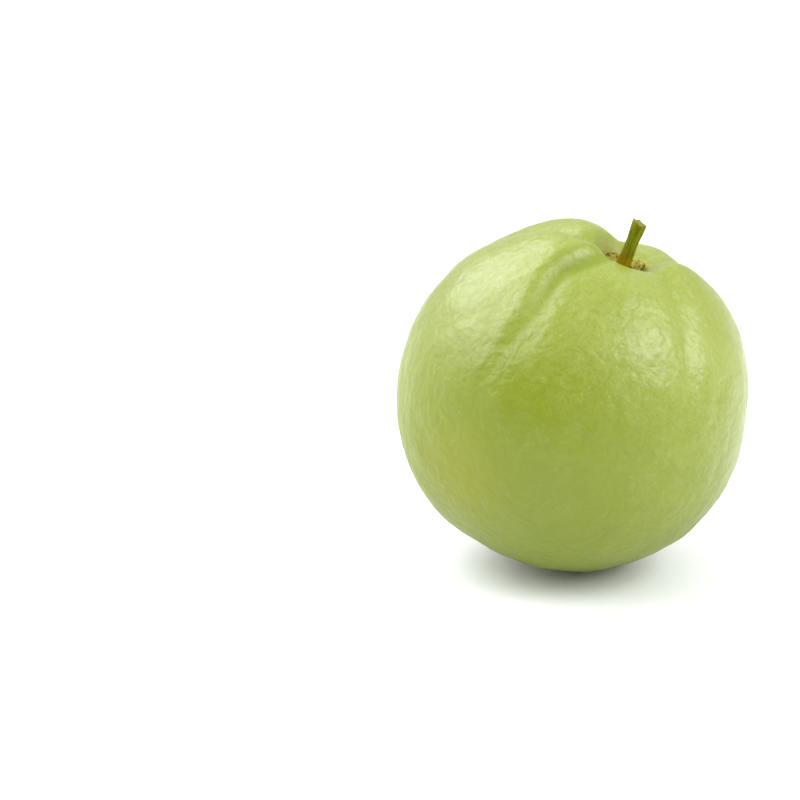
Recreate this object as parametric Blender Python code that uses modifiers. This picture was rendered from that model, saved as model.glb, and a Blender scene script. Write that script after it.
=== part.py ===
"""A whole guava, as picked.

Four pieces: the fruit, its stalk, the corky collar round the stalk's foot, and the dried calyx at the
blossom end. The fruit rests on a small flat spot beside the calyx, so its own axis, from the calyx to the
stalk, leans over.
Metres, +Z up. The origin is at the middle of the bottom of the fruit's box.
"""

import math
from typing import NamedTuple

import bmesh
import bpy
from mathutils import Euler, Vector, noise

# Driving dimensions
FRUIT_RADIUS = 0.048
LEAN_RIGHT = math.radians(20)  # the stalk end leans towards +X
LEAN_FRONT = math.radians(7)  # and a little towards -Y
REST_SPOT_RADIUS = 0.009
CLEARANCE = 0.0004  # between neighbouring pieces, which touch on the real fruit

# The hollow that the stalk grows from, and the shallower one that holds the calyx
STALK_HOLLOW_DEPTH = 0.0082
STALK_HOLLOW_RADIUS = 0.0078
STALK_HOLLOW_EDGE = 3.2  # a higher power gives a flatter floor and steeper walls
STALK_HOLLOW_PLACE = Vector((-0.0017, -0.0012))  # its middle, off the fruit's axis
CALYX_HOLLOW_DEPTH = 0.0052
CALYX_HOLLOW_RADIUS = 0.0110
CALYX_HOLLOW_EDGE = 2.6
SHOULDER_DROP = 0.0008  # the rim of either hollow is lower than a ball's surface
SHOULDER_RADIUS = 0.013

# Uneven growth: broad waves, and smaller bumps that show in the skin's shine
WAVE_HEIGHT = 0.0006
WAVE_SCALE = 1.7
BUMP_HEIGHT = 0.00022
BUMP_SCALE = 6.0

# Stalk
STALK_FOOT_DEPTH = 0.0030  # how far it goes into the floor of its hollow
STALK_TIP_HEIGHT = 0.0529  # from the fruit's middle, along its axis
STALK_FOOT_RADIUS = 0.0021
STALK_WAIST_RADIUS = 0.0016
STALK_TIP_RADIUS = 0.0019
STALK_FOOT_END = 0.6  # share of its length where the foot's flare has ended
STALK_TIP_START = 0.65  # and where the tip's begins
STALK_BEND = 0.0003  # how far the tip leans back towards -X
STALK_RIDGE = 0.06  # share of the radius, on a stalk that is faintly four-sided
STALK_TEAR = 0.0004  # unevenness of the torn end
TEAR_TEETH = 5
TEAR_TOOTH = 0.6  # share of the unevenness that the teeth make, beside the slant

# Collar
COLLAR_INNER_RADIUS = 0.0026
COLLAR_OUTER_RADIUS = 0.0053
COLLAR_WAVER = 0.00035  # how far its outer edge wanders in and out
COLLAR_WAVES = 3
COLLAR_WAVE_START = 1.0
COLLAR_THICKNESS = 0.0009
FLAKE_WIDTH = 24  # degrees round the stalk

# Calyx
CALYX_DISC_RADIUS = 0.0044
CALYX_RIM_HEIGHT = 0.0011
CALYX_RIM_WIDTH = 0.0011
CALYX_BOSS_HEIGHT = 0.0009
CALYX_BOSS_WIDTH = 0.0011
CALYX_THICKNESS = 0.0007
SEPAL_LENGTHS = (0.0046, 0.0037, 0.0049, 0.0032, 0.0043)
SEPAL_POINT = 0.85  # below 1 the sides of a sepal bulge, above 1 they hollow
SEPAL_CURL = 0.0012  # how far a dried tip lifts off the skin
CURL_SPREAD = 0.33  # share by which the sepals curl more or less than that
CURL_WAVES = 3

# Colours and roughness
SKIN_GREEN = (0.48, 0.60, 0.14)
SKIN_ROUGHNESS = 0.38
BARK_GREEN = (0.24, 0.25, 0.04)
BARK_ROUGHNESS = 0.6
CORK_BROWN = (0.30, 0.20, 0.06)
HUSK_BROWN = (0.22, 0.12, 0.05)
DRY_ROUGHNESS = 0.85

# Resolution of the faceted solids
FRUIT_SEGMENTS = 72
FRUIT_RINGS = 52
RING_CROWDING = 0.55  # draws rings towards the two ends, where the hollows are
STALK_SIDES = 20
STALK_CUTS = 10
COLLAR_SEGMENTS = 48
COLLAR_SIDES = 8
CALYX_SEGMENTS = 50
CALYX_RINGS = 9
SNAP = 1e-6
SEARCH_STEPS = 6
SHARP_EDGE = math.radians(40)


class Fold(NamedTuple):
    """A groove that runs down the fruit from the stalk's hollow, between two of its lobes."""

    azimuth: float  # degrees round the fruit's axis, 0 at +X and 270 at -Y
    crease: float  # depth of the narrow middle
    crease_width: float
    valley: float  # depth of the broad trough round it
    valley_width: float
    reach: float  # polar angle, in degrees, where it has faded out
    foot: float  # depth of its faint return near the calyx
    spread: float = 1  # how much wider the trough is on the side of the higher azimuths
    lip: float = 0  # height of a low ridge along the other side
    start: float = 11  # polar angle where the narrow middle has its full depth
    turn: float = 0  # degrees that the fold turns aside near the stalk's hollow
    kink: float = 0  # degrees that it is out of line a little further down


FOLDS = (
    Fold(33, 0.0014, 0.0035, 0.0024, 0.0075, 62, 0.0002),
    Fold(94, 0.0014, 0.0045, 0.0026, 0.0090, 62, 0.0006),
    Fold(158, 0.0018, 0.0040, 0.0024, 0.0065, 62, 0.0005, turn=40),
    Fold(232, 0.0017, 0.0020, 0.0012, 0.0034, 82, 0.0006, 3.8, 0.0005, start=34, kink=-6),
    Fold(301, 0.0009, 0.0030, 0.0007, 0.0070, 94, 0.0007),
)
FOLD_START = (3, 11)  # polar angles between which a fold deepens as it leaves the hollow
FOLD_TURN = (10, 35)  # polar angles between which a fold turns to its own azimuth
KINK_PLACE = 35  # polar angle of a kink's middle
KINK_LENGTH = 10
FOLD_FADE = 0.2  # share of its reach where it begins to fade
FOLD_FOOT = (115, 150)  # polar angles between which it comes back towards the calyx
FOLD_FOOT_WIDTH = 0.0055
LIP_PLACE = -0.0045  # across the fold, from its middle
LIP_WIDTH = 0.0026
CREASE_SPREAD = 0.3  # power of the spread by which the narrow middle is wider on that side
CREASE_ROUNDING = 0.35


class Swell(NamedTuple):
    """A part of the skin that stands proud of a ball or, with a negative height, lies below it."""

    azimuth: float
    polar: float
    height: float
    width: float  # degrees from its middle to where it has fallen to a third


SWELLS = (
    Swell(128, 34, 0.0011, 16),
    Swell(198, 25, 0.0018, 16),
    Swell(345, 13, 0.0014, 10),
    Swell(258, 13, -0.0014, 9),
    Swell(185, 85, -0.0009, 32),
    Swell(352, 72, -0.0008, 11),
    Swell(319, 133, -0.0008, 12),
    Swell(265, 152, -0.0016, 17),
    Swell(218, 41, 0.0006, 12),
)


class Flake(NamedTuple):
    """A torn scrap of bark that stands up from the collar."""

    azimuth: float
    height: float


FLAKES = (Flake(345, 0.0014), Flake(50, 0.0006), Flake(110, 0.0010), Flake(190, 0.0005), Flake(265, 0.0004))


def smooth_step(value, low, high):
    """0 below low, 1 above high, with a smooth rise between."""
    share = min(1.0, max(0.0, (value - low) / (high - low)))
    return share * share * (3 - 2 * share)


def bell(distance, width, power=2):
    """1 in the middle, falling to about a third at width."""
    return math.exp(-(abs(distance / width) ** power))


def groove(across, width):
    """1 in the middle of a groove, falling off to either side of a rounded V."""
    return math.exp(CREASE_ROUNDING - math.hypot(across / width, CREASE_ROUNDING))


def degrees_between(azimuth, other):
    """The turn from one azimuth to another, from -180 to 180 degrees."""
    return (azimuth - other + 180) % 360 - 180


def direction_at(polar, azimuth):
    """The direction at a polar angle from the stalk end and an azimuth, in radians, in the fruit's frame."""
    return Vector((math.sin(polar) * math.cos(azimuth), math.sin(polar) * math.sin(azimuth), math.cos(polar)))


def fold_depth(fold, polar, azimuth, from_axis):
    """How far one fold sinks the skin, at a polar angle and an azimuth in degrees."""
    middle = fold.azimuth + fold.turn * (1 - smooth_step(polar, *FOLD_TURN))
    middle += fold.kink * bell(polar - KINK_PLACE, KINK_LENGTH)
    across = from_axis * math.radians(degrees_between(azimuth, middle))
    spread = fold.spread if across > 0 else 1
    crease = fold.crease * groove(across, fold.crease_width * spread**CREASE_SPREAD)
    valley = fold.valley * bell(across, fold.valley_width * spread)
    valley -= fold.lip * bell(across - LIP_PLACE, LIP_WIDTH)
    upper = smooth_step(polar, FOLD_START[0], fold.start) * crease + smooth_step(polar, *FOLD_START) * valley
    upper *= 1 - smooth_step(polar, FOLD_FADE * fold.reach, fold.reach)
    return upper + smooth_step(polar, *FOLD_FOOT) * fold.foot * bell(across, FOLD_FOOT_WIDTH)


def swelling(direction):
    """How far the swells raise the skin in a direction."""
    raised = 0
    for swell in SWELLS:
        middle = direction_at(math.radians(swell.polar), math.radians(swell.azimuth))
        raised += swell.height * bell(math.degrees(direction.angle(middle)), swell.width)
    return raised


def hollow_depth(polar, azimuth, from_axis):
    """Depth of the hollow at the nearer end of the fruit."""
    if polar > math.pi / 2:
        return CALYX_HOLLOW_DEPTH * bell(from_axis, CALYX_HOLLOW_RADIUS, CALYX_HOLLOW_EDGE)
    place = from_axis * Vector((math.cos(azimuth), math.sin(azimuth)))
    from_middle = (place - STALK_HOLLOW_PLACE).length
    return STALK_HOLLOW_DEPTH * bell(from_middle, STALK_HOLLOW_RADIUS, STALK_HOLLOW_EDGE)


def skin_radius(polar, azimuth):
    """Distance of the skin from the fruit's middle, at a polar angle and an azimuth in radians."""
    direction = direction_at(polar, azimuth)
    from_axis = FRUIT_RADIUS * math.sin(polar)
    radius = FRUIT_RADIUS + swelling(direction)
    radius += WAVE_HEIGHT * noise.noise(direction * WAVE_SCALE)
    radius += BUMP_HEIGHT * noise.noise(direction * BUMP_SCALE)
    radius -= SHOULDER_DROP * bell(from_axis, SHOULDER_RADIUS)
    for fold in FOLDS:
        radius -= fold_depth(fold, math.degrees(polar), math.degrees(azimuth), from_axis)
    return radius - hollow_depth(polar, azimuth, from_axis)


def skin_height(place, end):
    """Height of the skin over a place off the axis, at the stalk's end (1) or the calyx's (-1)."""
    azimuth = math.atan2(place.y, place.x)
    radius = FRUIT_RADIUS
    for _ in range(SEARCH_STEPS):
        lean_out = math.asin(min(1.0, place.length / radius))
        radius = skin_radius(lean_out if end > 0 else math.pi - lean_out, azimuth)
    return end * math.sqrt(max(0.0, radius**2 - place.length_squared))


def polar_angles(point):
    """Polar angle and azimuth of a point, in radians."""
    return math.acos(max(-1.0, min(1.0, point.z / point.length))), math.atan2(point.y, point.x)


def lying():
    """The turn from the fruit's own frame to how it lies."""
    return Euler((LEAN_FRONT, LEAN_RIGHT, 0))


def clear_scene():
    for thing in list(bpy.data.objects):
        bpy.data.objects.remove(thing, do_unlink=True)


def new_collection(name):
    collection = bpy.data.collections.new(name)
    bpy.context.scene.collection.children.link(collection)
    return collection


def new_material(name, colour, roughness):
    material = bpy.data.materials.new(name)
    material.use_nodes = True
    shader = material.node_tree.nodes["Principled BSDF"]
    shader.inputs["Base Color"].default_value = (*colour, 1)
    shader.inputs["Roughness"].default_value = roughness
    shader.inputs["Metallic"].default_value = 0
    return material


def new_object(name, shape, collection):
    """An object from a bmesh, which is freed."""
    mesh = bpy.data.meshes.new(name)
    shape.to_mesh(mesh)
    shape.free()
    mesh.shade_smooth()
    thing = bpy.data.objects.new(name, mesh)
    collection.objects.link(thing)
    return thing


def fruit_shape():
    """The fruit's skin in its own frame, with its axis along Z."""
    shape = bmesh.new()
    bmesh.ops.create_uvsphere(shape, u_segments=FRUIT_SEGMENTS, v_segments=FRUIT_RINGS, radius=1)
    for vertex in shape.verts:
        polar, azimuth = polar_angles(vertex.co)
        polar -= RING_CROWDING * math.sin(2 * polar) / 2
        vertex.co = skin_radius(polar, azimuth) * direction_at(polar, azimuth)
    return shape


def press_flat(shape):
    """Cuts the skin off level where the fruit rests, and closes it with one flat face."""
    down = lying().to_matrix().inverted() @ Vector((0, 0, -1))
    lowest = max(vertex.co.dot(down) for vertex in shape.verts)
    pressed = FRUIT_RADIUS - math.sqrt(FRUIT_RADIUS**2 - REST_SPOT_RADIUS**2)
    cut = bmesh.ops.bisect_plane(
        shape,
        geom=shape.verts[:] + shape.edges[:] + shape.faces[:],
        dist=SNAP,
        plane_co=down * (lowest - pressed),
        plane_no=down,
        clear_outer=True,
    )
    rim = [part for part in cut["geom_cut"] if isinstance(part, bmesh.types.BMEdge)]
    bmesh.ops.holes_fill(shape, edges=rim)


def stalk_radius(share):
    """The stalk's radius at a share of its length: wide at the foot, slim at the waist, wider at the tip."""
    foot = (STALK_FOOT_RADIUS - STALK_WAIST_RADIUS) * (1 - smooth_step(share, 0, STALK_FOOT_END))
    tip = (STALK_TIP_RADIUS - STALK_WAIST_RADIUS) * smooth_step(share, STALK_TIP_START, 1)
    return STALK_WAIST_RADIUS + foot + tip


def tear(out, azimuth):
    """Height of the torn end at a share of the radius: slanted, toothed at its edge, sunk in its middle."""
    return out * (TEAR_TOOTH * math.sin(TEAR_TEETH * azimuth) - math.cos(azimuth)) - (1 - out)


def stalk_shape():
    """The stalk: a faintly four-sided rod, bent, with a torn end."""
    low = skin_height(STALK_HOLLOW_PLACE, 1) - STALK_FOOT_DEPTH
    length = STALK_TIP_HEIGHT - low
    shape = bmesh.new()
    bmesh.ops.create_cone(shape, cap_ends=True, segments=STALK_SIDES, radius1=1, radius2=1, depth=1)
    tip = [face for face in shape.faces if len(face.verts) > 4 and face.normal.z > 0]
    sides = [edge for edge in shape.edges if edge.verts[0].co.z * edge.verts[1].co.z < 0]
    bmesh.ops.subdivide_edges(shape, edges=sides, cuts=STALK_CUTS)
    bmesh.ops.poke(shape, faces=tip)
    for vertex in shape.verts:
        share = vertex.co.z + 0.5
        azimuth = math.atan2(vertex.co.y, vertex.co.x)
        out = math.hypot(vertex.co.x, vertex.co.y)
        radius = out * stalk_radius(share) * (1 + STALK_RIDGE * math.cos(4 * azimuth))
        place = STALK_HOLLOW_PLACE + radius * Vector((math.cos(azimuth), math.sin(azimuth)))
        place.x -= STALK_BEND * share**2
        torn = STALK_TEAR * tear(out, azimuth) if share > 1 - SNAP else 0
        vertex.co = (*place, low + length * share + torn)
    return shape


def collar_shape():
    """The corky ring that lines the floor of the hollow round the stalk, with a few torn flakes."""
    shape = bmesh.new()
    section = [
        shape.verts.new((1 + math.cos(turn) / 2, 0, math.sin(turn) / 2))
        for turn in (math.tau * side / COLLAR_SIDES for side in range(COLLAR_SIDES))
    ]
    loop = [shape.edges.new((section[side - 1], section[side])) for side in range(COLLAR_SIDES)]
    bmesh.ops.spin(
        shape,
        geom=section + loop,
        cent=(0, 0, 0),
        axis=(0, 0, 1),
        angle=math.tau,
        steps=COLLAR_SEGMENTS,
        use_merge=True,
    )
    bmesh.ops.recalc_face_normals(shape, faces=shape.faces[:])
    for vertex in shape.verts:
        azimuth = math.atan2(vertex.co.y, vertex.co.x)
        out = math.hypot(vertex.co.x, vertex.co.y) - 0.5
        top = vertex.co.z + 0.5
        outer = COLLAR_OUTER_RADIUS + COLLAR_WAVER * math.sin(COLLAR_WAVES * azimuth + COLLAR_WAVE_START)
        from_stalk = COLLAR_INNER_RADIUS + out * (outer - COLLAR_INNER_RADIUS)
        place = STALK_HOLLOW_PLACE + from_stalk * Vector((math.cos(azimuth), math.sin(azimuth)))
        raised = sum(
            flake.height * bell(degrees_between(math.degrees(azimuth), flake.azimuth), FLAKE_WIDTH / 2)
            for flake in FLAKES
        )
        height = skin_height(place, 1) + CLEARANCE + top * (COLLAR_THICKNESS + out * raised)
        vertex.co = (*place, height)
    return shape


def calyx_reach(azimuth):
    """How far out the calyx goes: a pointed sepal in each fifth of its turn, and notches between them."""
    turn = azimuth / math.tau * len(SEPAL_LENGTHS)
    sepal = round(turn)
    from_middle = 2 * abs(turn - sepal)
    return CALYX_DISC_RADIUS + SEPAL_LENGTHS[sepal % len(SEPAL_LENGTHS)] * (1 - from_middle) ** SEPAL_POINT


def calyx_relief(from_axis, azimuth):
    """How far the calyx stands off the skin: a boss in its middle, its disc's rim and the sepals' curl."""
    boss = CALYX_BOSS_HEIGHT * bell(from_axis, CALYX_BOSS_WIDTH)
    rim = CALYX_RIM_HEIGHT * bell(from_axis - CALYX_DISC_RADIUS, CALYX_RIM_WIDTH)
    past_disc = max(0.0, from_axis - CALYX_DISC_RADIUS) / max(SEPAL_LENGTHS)
    return boss + rim + SEPAL_CURL * past_disc**2 * (1 + CURL_SPREAD * math.sin(CURL_WAVES * azimuth))


def calyx_shape():
    """The calyx as an open sheet over the skin of its hollow."""
    shape = bmesh.new()
    bmesh.ops.create_uvsphere(shape, u_segments=CALYX_SEGMENTS, v_segments=2 * CALYX_RINGS, radius=1)
    upper = [vertex for vertex in shape.verts if vertex.co.z > SNAP]
    bmesh.ops.delete(shape, geom=upper, context="VERTS")
    for vertex in shape.verts:
        polar, azimuth = polar_angles(vertex.co)
        from_axis = (math.pi - polar) / (math.pi / 2) * calyx_reach(azimuth)
        place = from_axis * Vector((math.cos(azimuth), math.sin(azimuth)))
        off_skin = CLEARANCE + calyx_relief(from_axis, azimuth)
        vertex.co = (*place, skin_height(place, -1) - off_skin)
    return shape


def socket_shape():
    """What the stalk's foot leaves free in the fruit."""
    depth = 2 * (STALK_FOOT_DEPTH + CLEARANCE)
    radius = STALK_FOOT_RADIUS * (1 + STALK_RIDGE) + CLEARANCE
    shape = bmesh.new()
    bmesh.ops.create_cone(
        shape, cap_ends=True, segments=STALK_SIDES, radius1=radius, radius2=radius, depth=depth
    )
    middle = (*STALK_HOLLOW_PLACE, skin_height(STALK_HOLLOW_PLACE, 1))
    bmesh.ops.translate(shape, verts=shape.verts[:], vec=middle)
    return shape


def make_fruit(collection, cutters):
    shape = fruit_shape()
    press_flat(shape)
    fruit = new_object("fruit", shape, collection)
    fruit.data.materials.append(new_material("skin", SKIN_GREEN, SKIN_ROUGHNESS))
    fruit.data.set_sharp_from_angle(angle=SHARP_EDGE)
    socket = new_object("stalk_socket", socket_shape(), cutters)
    socket.hide_render = True
    socket.display_type = "WIRE"
    cut = fruit.modifiers.new("stalk socket", "BOOLEAN")
    cut.operation = "DIFFERENCE"
    cut.object = socket
    return fruit, socket


def make_stalk(collection):
    stalk = new_object("stalk", stalk_shape(), collection)
    stalk.data.materials.append(new_material("bark", BARK_GREEN, BARK_ROUGHNESS))
    return stalk


def make_collar(collection):
    collar = new_object("stalk_collar", collar_shape(), collection)
    collar.data.materials.append(new_material("cork", CORK_BROWN, DRY_ROUGHNESS))
    return collar


def make_calyx(collection):
    calyx = new_object("calyx", calyx_shape(), collection)
    calyx.data.materials.append(new_material("husk", HUSK_BROWN, DRY_ROUGHNESS))
    thickness = calyx.modifiers.new("thickness", "SOLIDIFY")
    thickness.thickness = CALYX_THICKNESS
    thickness.offset = 1
    return calyx


def lay_down(fruit, others, collection):
    """Leans the pieces over with the fruit's axis, and puts the middle of the fruit's box over the origin."""
    axis = bpy.data.objects.new("fruit_axis", None)
    axis.rotation_euler = lying()
    collection.objects.link(axis)
    points = [lying().to_matrix() @ vertex.co for vertex in fruit.data.vertices]
    low = Vector(min(point[side] for point in points) for side in range(3))
    high = Vector(max(point[side] for point in points) for side in range(3))
    axis.location = -Vector(((low.x + high.x) / 2, (low.y + high.y) / 2, low.z))
    for piece in (fruit, *others):
        piece.parent = axis


def main():
    clear_scene()
    guava = new_collection("guava")
    cutters = new_collection("cutters")
    fruit, socket = make_fruit(guava, cutters)
    lay_down(fruit, (socket, make_stalk(guava), make_collar(guava), make_calyx(guava)), guava)


main()
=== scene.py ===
"""Looks of a whole guava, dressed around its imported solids.

Four pieces stand for the four solids: the skin, the stalk, the corky collar round the stalk's foot and the
dried calyx at the blossom end. Each has the form of its solid in a finer mesh, with the relief and the finish
that the solid leaves out. The pieces are shaped in the fruit's own frame, whose Z axis runs from the calyx to
the stalk, and then leaned over as the fruit lies. Metres, +Z up.
"""

import logging
import math
from collections.abc import Mapping
from dataclasses import dataclass
from enum import Enum
from functools import cached_property
from typing import Any

import bmesh
import bpy
from mathutils import Euler, Matrix, Vector, noise


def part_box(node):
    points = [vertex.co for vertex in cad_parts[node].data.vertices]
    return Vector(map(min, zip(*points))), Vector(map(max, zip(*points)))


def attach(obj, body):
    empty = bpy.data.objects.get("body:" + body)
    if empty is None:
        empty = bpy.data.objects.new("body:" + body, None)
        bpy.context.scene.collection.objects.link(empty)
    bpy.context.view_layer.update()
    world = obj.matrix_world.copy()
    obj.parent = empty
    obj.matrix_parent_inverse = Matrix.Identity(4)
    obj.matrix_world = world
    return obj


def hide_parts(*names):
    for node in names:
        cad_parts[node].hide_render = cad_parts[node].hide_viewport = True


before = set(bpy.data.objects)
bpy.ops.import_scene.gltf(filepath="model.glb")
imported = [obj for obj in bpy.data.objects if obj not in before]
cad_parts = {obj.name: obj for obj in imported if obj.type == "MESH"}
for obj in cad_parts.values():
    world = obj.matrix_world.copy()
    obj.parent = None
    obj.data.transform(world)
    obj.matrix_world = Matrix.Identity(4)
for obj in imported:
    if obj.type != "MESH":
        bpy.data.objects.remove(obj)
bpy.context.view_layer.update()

logging.basicConfig(level=logging.INFO, format="%(message)s")
log = logging.getLogger("guava")

SNAP = 1e-6
BEND_SHIFTS = (Vector((0, 0, 0)), Vector((17, 5, 9)), Vector((3, 29, 13)))
LEAN_FRONT = math.radians(7)
LEAN_RIGHT = math.radians(20)
CLEARANCE = 0.0004
SETTLING_ROUNDS = 6
Colour = tuple[float, float, float]
Direction = tuple[float, float, float]
Span = tuple[float, float]


def smooth_step(value: float, low: float, high: float) -> float:
    """Rises smoothly from 0 below low to 1 above high.

    Args:
        value: the number to judge.
        low: where the rise begins.
        high: where it has ended.

    Returns:
        A share from 0 to 1.
    """
    share = min(1.0, max(0.0, (value - low) / (high - low)))
    return share * share * (3 - 2 * share)


def bell(distance: float, width: float, power: float = 2) -> float:
    """Returns 1 in the middle, falling to about a third at width; a higher power has steeper sides."""
    return math.exp(-(abs(distance / width) ** power))


def groove(across: float, width: float, rounding: float = 0.35) -> float:
    """Returns 1 in the middle of a groove, falling off to either side of a rounded V."""
    return math.exp(rounding - math.hypot(across / width, rounding))


def degrees_between(azimuth: float, other: float) -> float:
    """Returns the turn from one azimuth to another, from -180 to 180 degrees."""
    return (azimuth - other + 180) % 360 - 180


def direction_at(polar: float, azimuth: float) -> Vector:
    """Returns the direction at a polar angle from the stalk end and an azimuth, in radians."""
    return Vector((math.sin(polar) * math.cos(azimuth), math.sin(polar) * math.sin(azimuth), math.cos(polar)))


def outwards(azimuth: float) -> Vector:
    """Returns the direction across the fruit's axis at an azimuth in radians."""
    return Vector((math.cos(azimuth), math.sin(azimuth)))


def on_tube(azimuth: float, radius: float, along: float) -> Vector:
    """Returns a point of a tube, so that noise read there closes on itself."""
    return Vector((radius * math.cos(azimuth), radius * math.sin(azimuth), along))


def polar_angles(point: Vector) -> tuple[float, float]:
    """Returns the polar angle and the azimuth of a point, in radians."""
    return math.acos(max(-1.0, min(1.0, point.z / point.length))), math.atan2(point.y, point.x)


class End(Enum):
    """The two ends of the fruit's axis."""

    STALK = 1
    CALYX = -1


@dataclass(frozen=True)
class Hollow:
    """A dip in the skin at one end of the fruit, in metres."""

    depth: float
    radius: float
    edge: float
    place: Vector

    def depth_at(self, place: Vector) -> float:
        """Returns how far it sinks the skin over a place off the fruit's axis."""
        return self.depth * bell((place - self.place).length, self.radius, self.edge)


@dataclass(frozen=True)
class Fold:
    """A groove between two lobes, which runs down from the stalk's hollow and comes back near the calyx.

    Its azimuth, reach, start, turn and kink are in degrees. Its crease is full from the start on. Near the
    hollow the fold turns aside, and a little further down it has a kink. The spread is a factor by which it
    is wider past its azimuth. The lip is a low ridge that runs along its other side. A span gives the polar
    angles, in degrees, over which something begins or ends. The depths and widths are in metres.
    """

    azimuth: float
    crease: float
    crease_width: float
    valley: float
    valley_width: float
    reach: float
    foot: float
    spread: float = 1
    lip: float = 0
    start: float = 11
    turn: float = 0
    kink: float = 0
    lip_place: float = -0.0045
    lip_width: float = 0.0026
    first_polar: float = 3
    valley_start: float = 11
    full_share: float = 0.2
    turn_span: Span = (10, 35)
    kink_place: float = 35
    kink_length: float = 10
    foot_span: Span = (115, 150)
    foot_width: float = 0.0055
    crease_spread: float = 0.3
    shade_place: float = 0.0002
    shade_width: float = 0.0022
    shaded_crease: float = 0.0017

    def fading(self, polar: float) -> float:
        """Returns the share of its upper depth that is left at a polar angle in degrees."""
        return 1 - smooth_step(polar, self.full_share * self.reach, self.reach)

    def across(self, polar: float, azimuth: float, from_axis: float) -> float:
        """Returns how far a place lies to the side of the fold, in metres."""
        turned = self.turn * (1 - smooth_step(polar, *self.turn_span))
        kinked = self.kink * bell(polar - self.kink_place, self.kink_length)
        return from_axis * math.radians(degrees_between(azimuth, self.azimuth + turned + kinked))

    def depth_at(self, polar: float, azimuth: float, from_axis: float) -> float:
        """Measures how far the fold sinks the skin.

        Args:
            polar: angle from the stalk end, in degrees.
            azimuth: angle round the fruit, in degrees.
            from_axis: distance from the fruit's axis, in metres.

        Returns:
            The depth in metres.
        """
        across = self.across(polar, azimuth, from_axis)
        if polar > self.foot_span[0]:
            return smooth_step(polar, *self.foot_span) * self.foot * bell(across, self.foot_width)
        if polar > self.reach:
            return 0.0
        spread = self.spread if across > 0 else 1
        crease = self.crease * groove(across, self.crease_width * spread**self.crease_spread)
        valley = self.valley * bell(across, self.valley_width * spread)
        valley -= self.lip * bell(across - self.lip_place, self.lip_width)
        depth = smooth_step(polar, self.first_polar, self.start) * crease
        depth += smooth_step(polar, self.first_polar, self.valley_start) * valley
        return self.fading(polar) * depth

    def shade_at(self, polar: float, azimuth: float, from_axis: float) -> float:
        """Returns how far the skin belongs to the fold's middle, which is matte and painted a darker green as
        shade, from 0 to 1.
        """
        middle = bell(self.across(polar, azimuth, from_axis) - self.shade_place, self.shade_width)
        share = smooth_step(polar, self.first_polar, self.valley_start) * self.fading(polar)
        return share * min(1, self.crease / self.shaded_crease) ** 2 * middle


@dataclass(frozen=True)
class Swell:
    """A part of the skin that stands proud of a ball or, with a negative height, lies below it."""

    azimuth: float
    polar: float
    height: float
    width: float

    @cached_property
    def middle(self) -> Vector:
        """The direction of its middle."""
        return direction_at(math.radians(self.polar), math.radians(self.azimuth))


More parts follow.
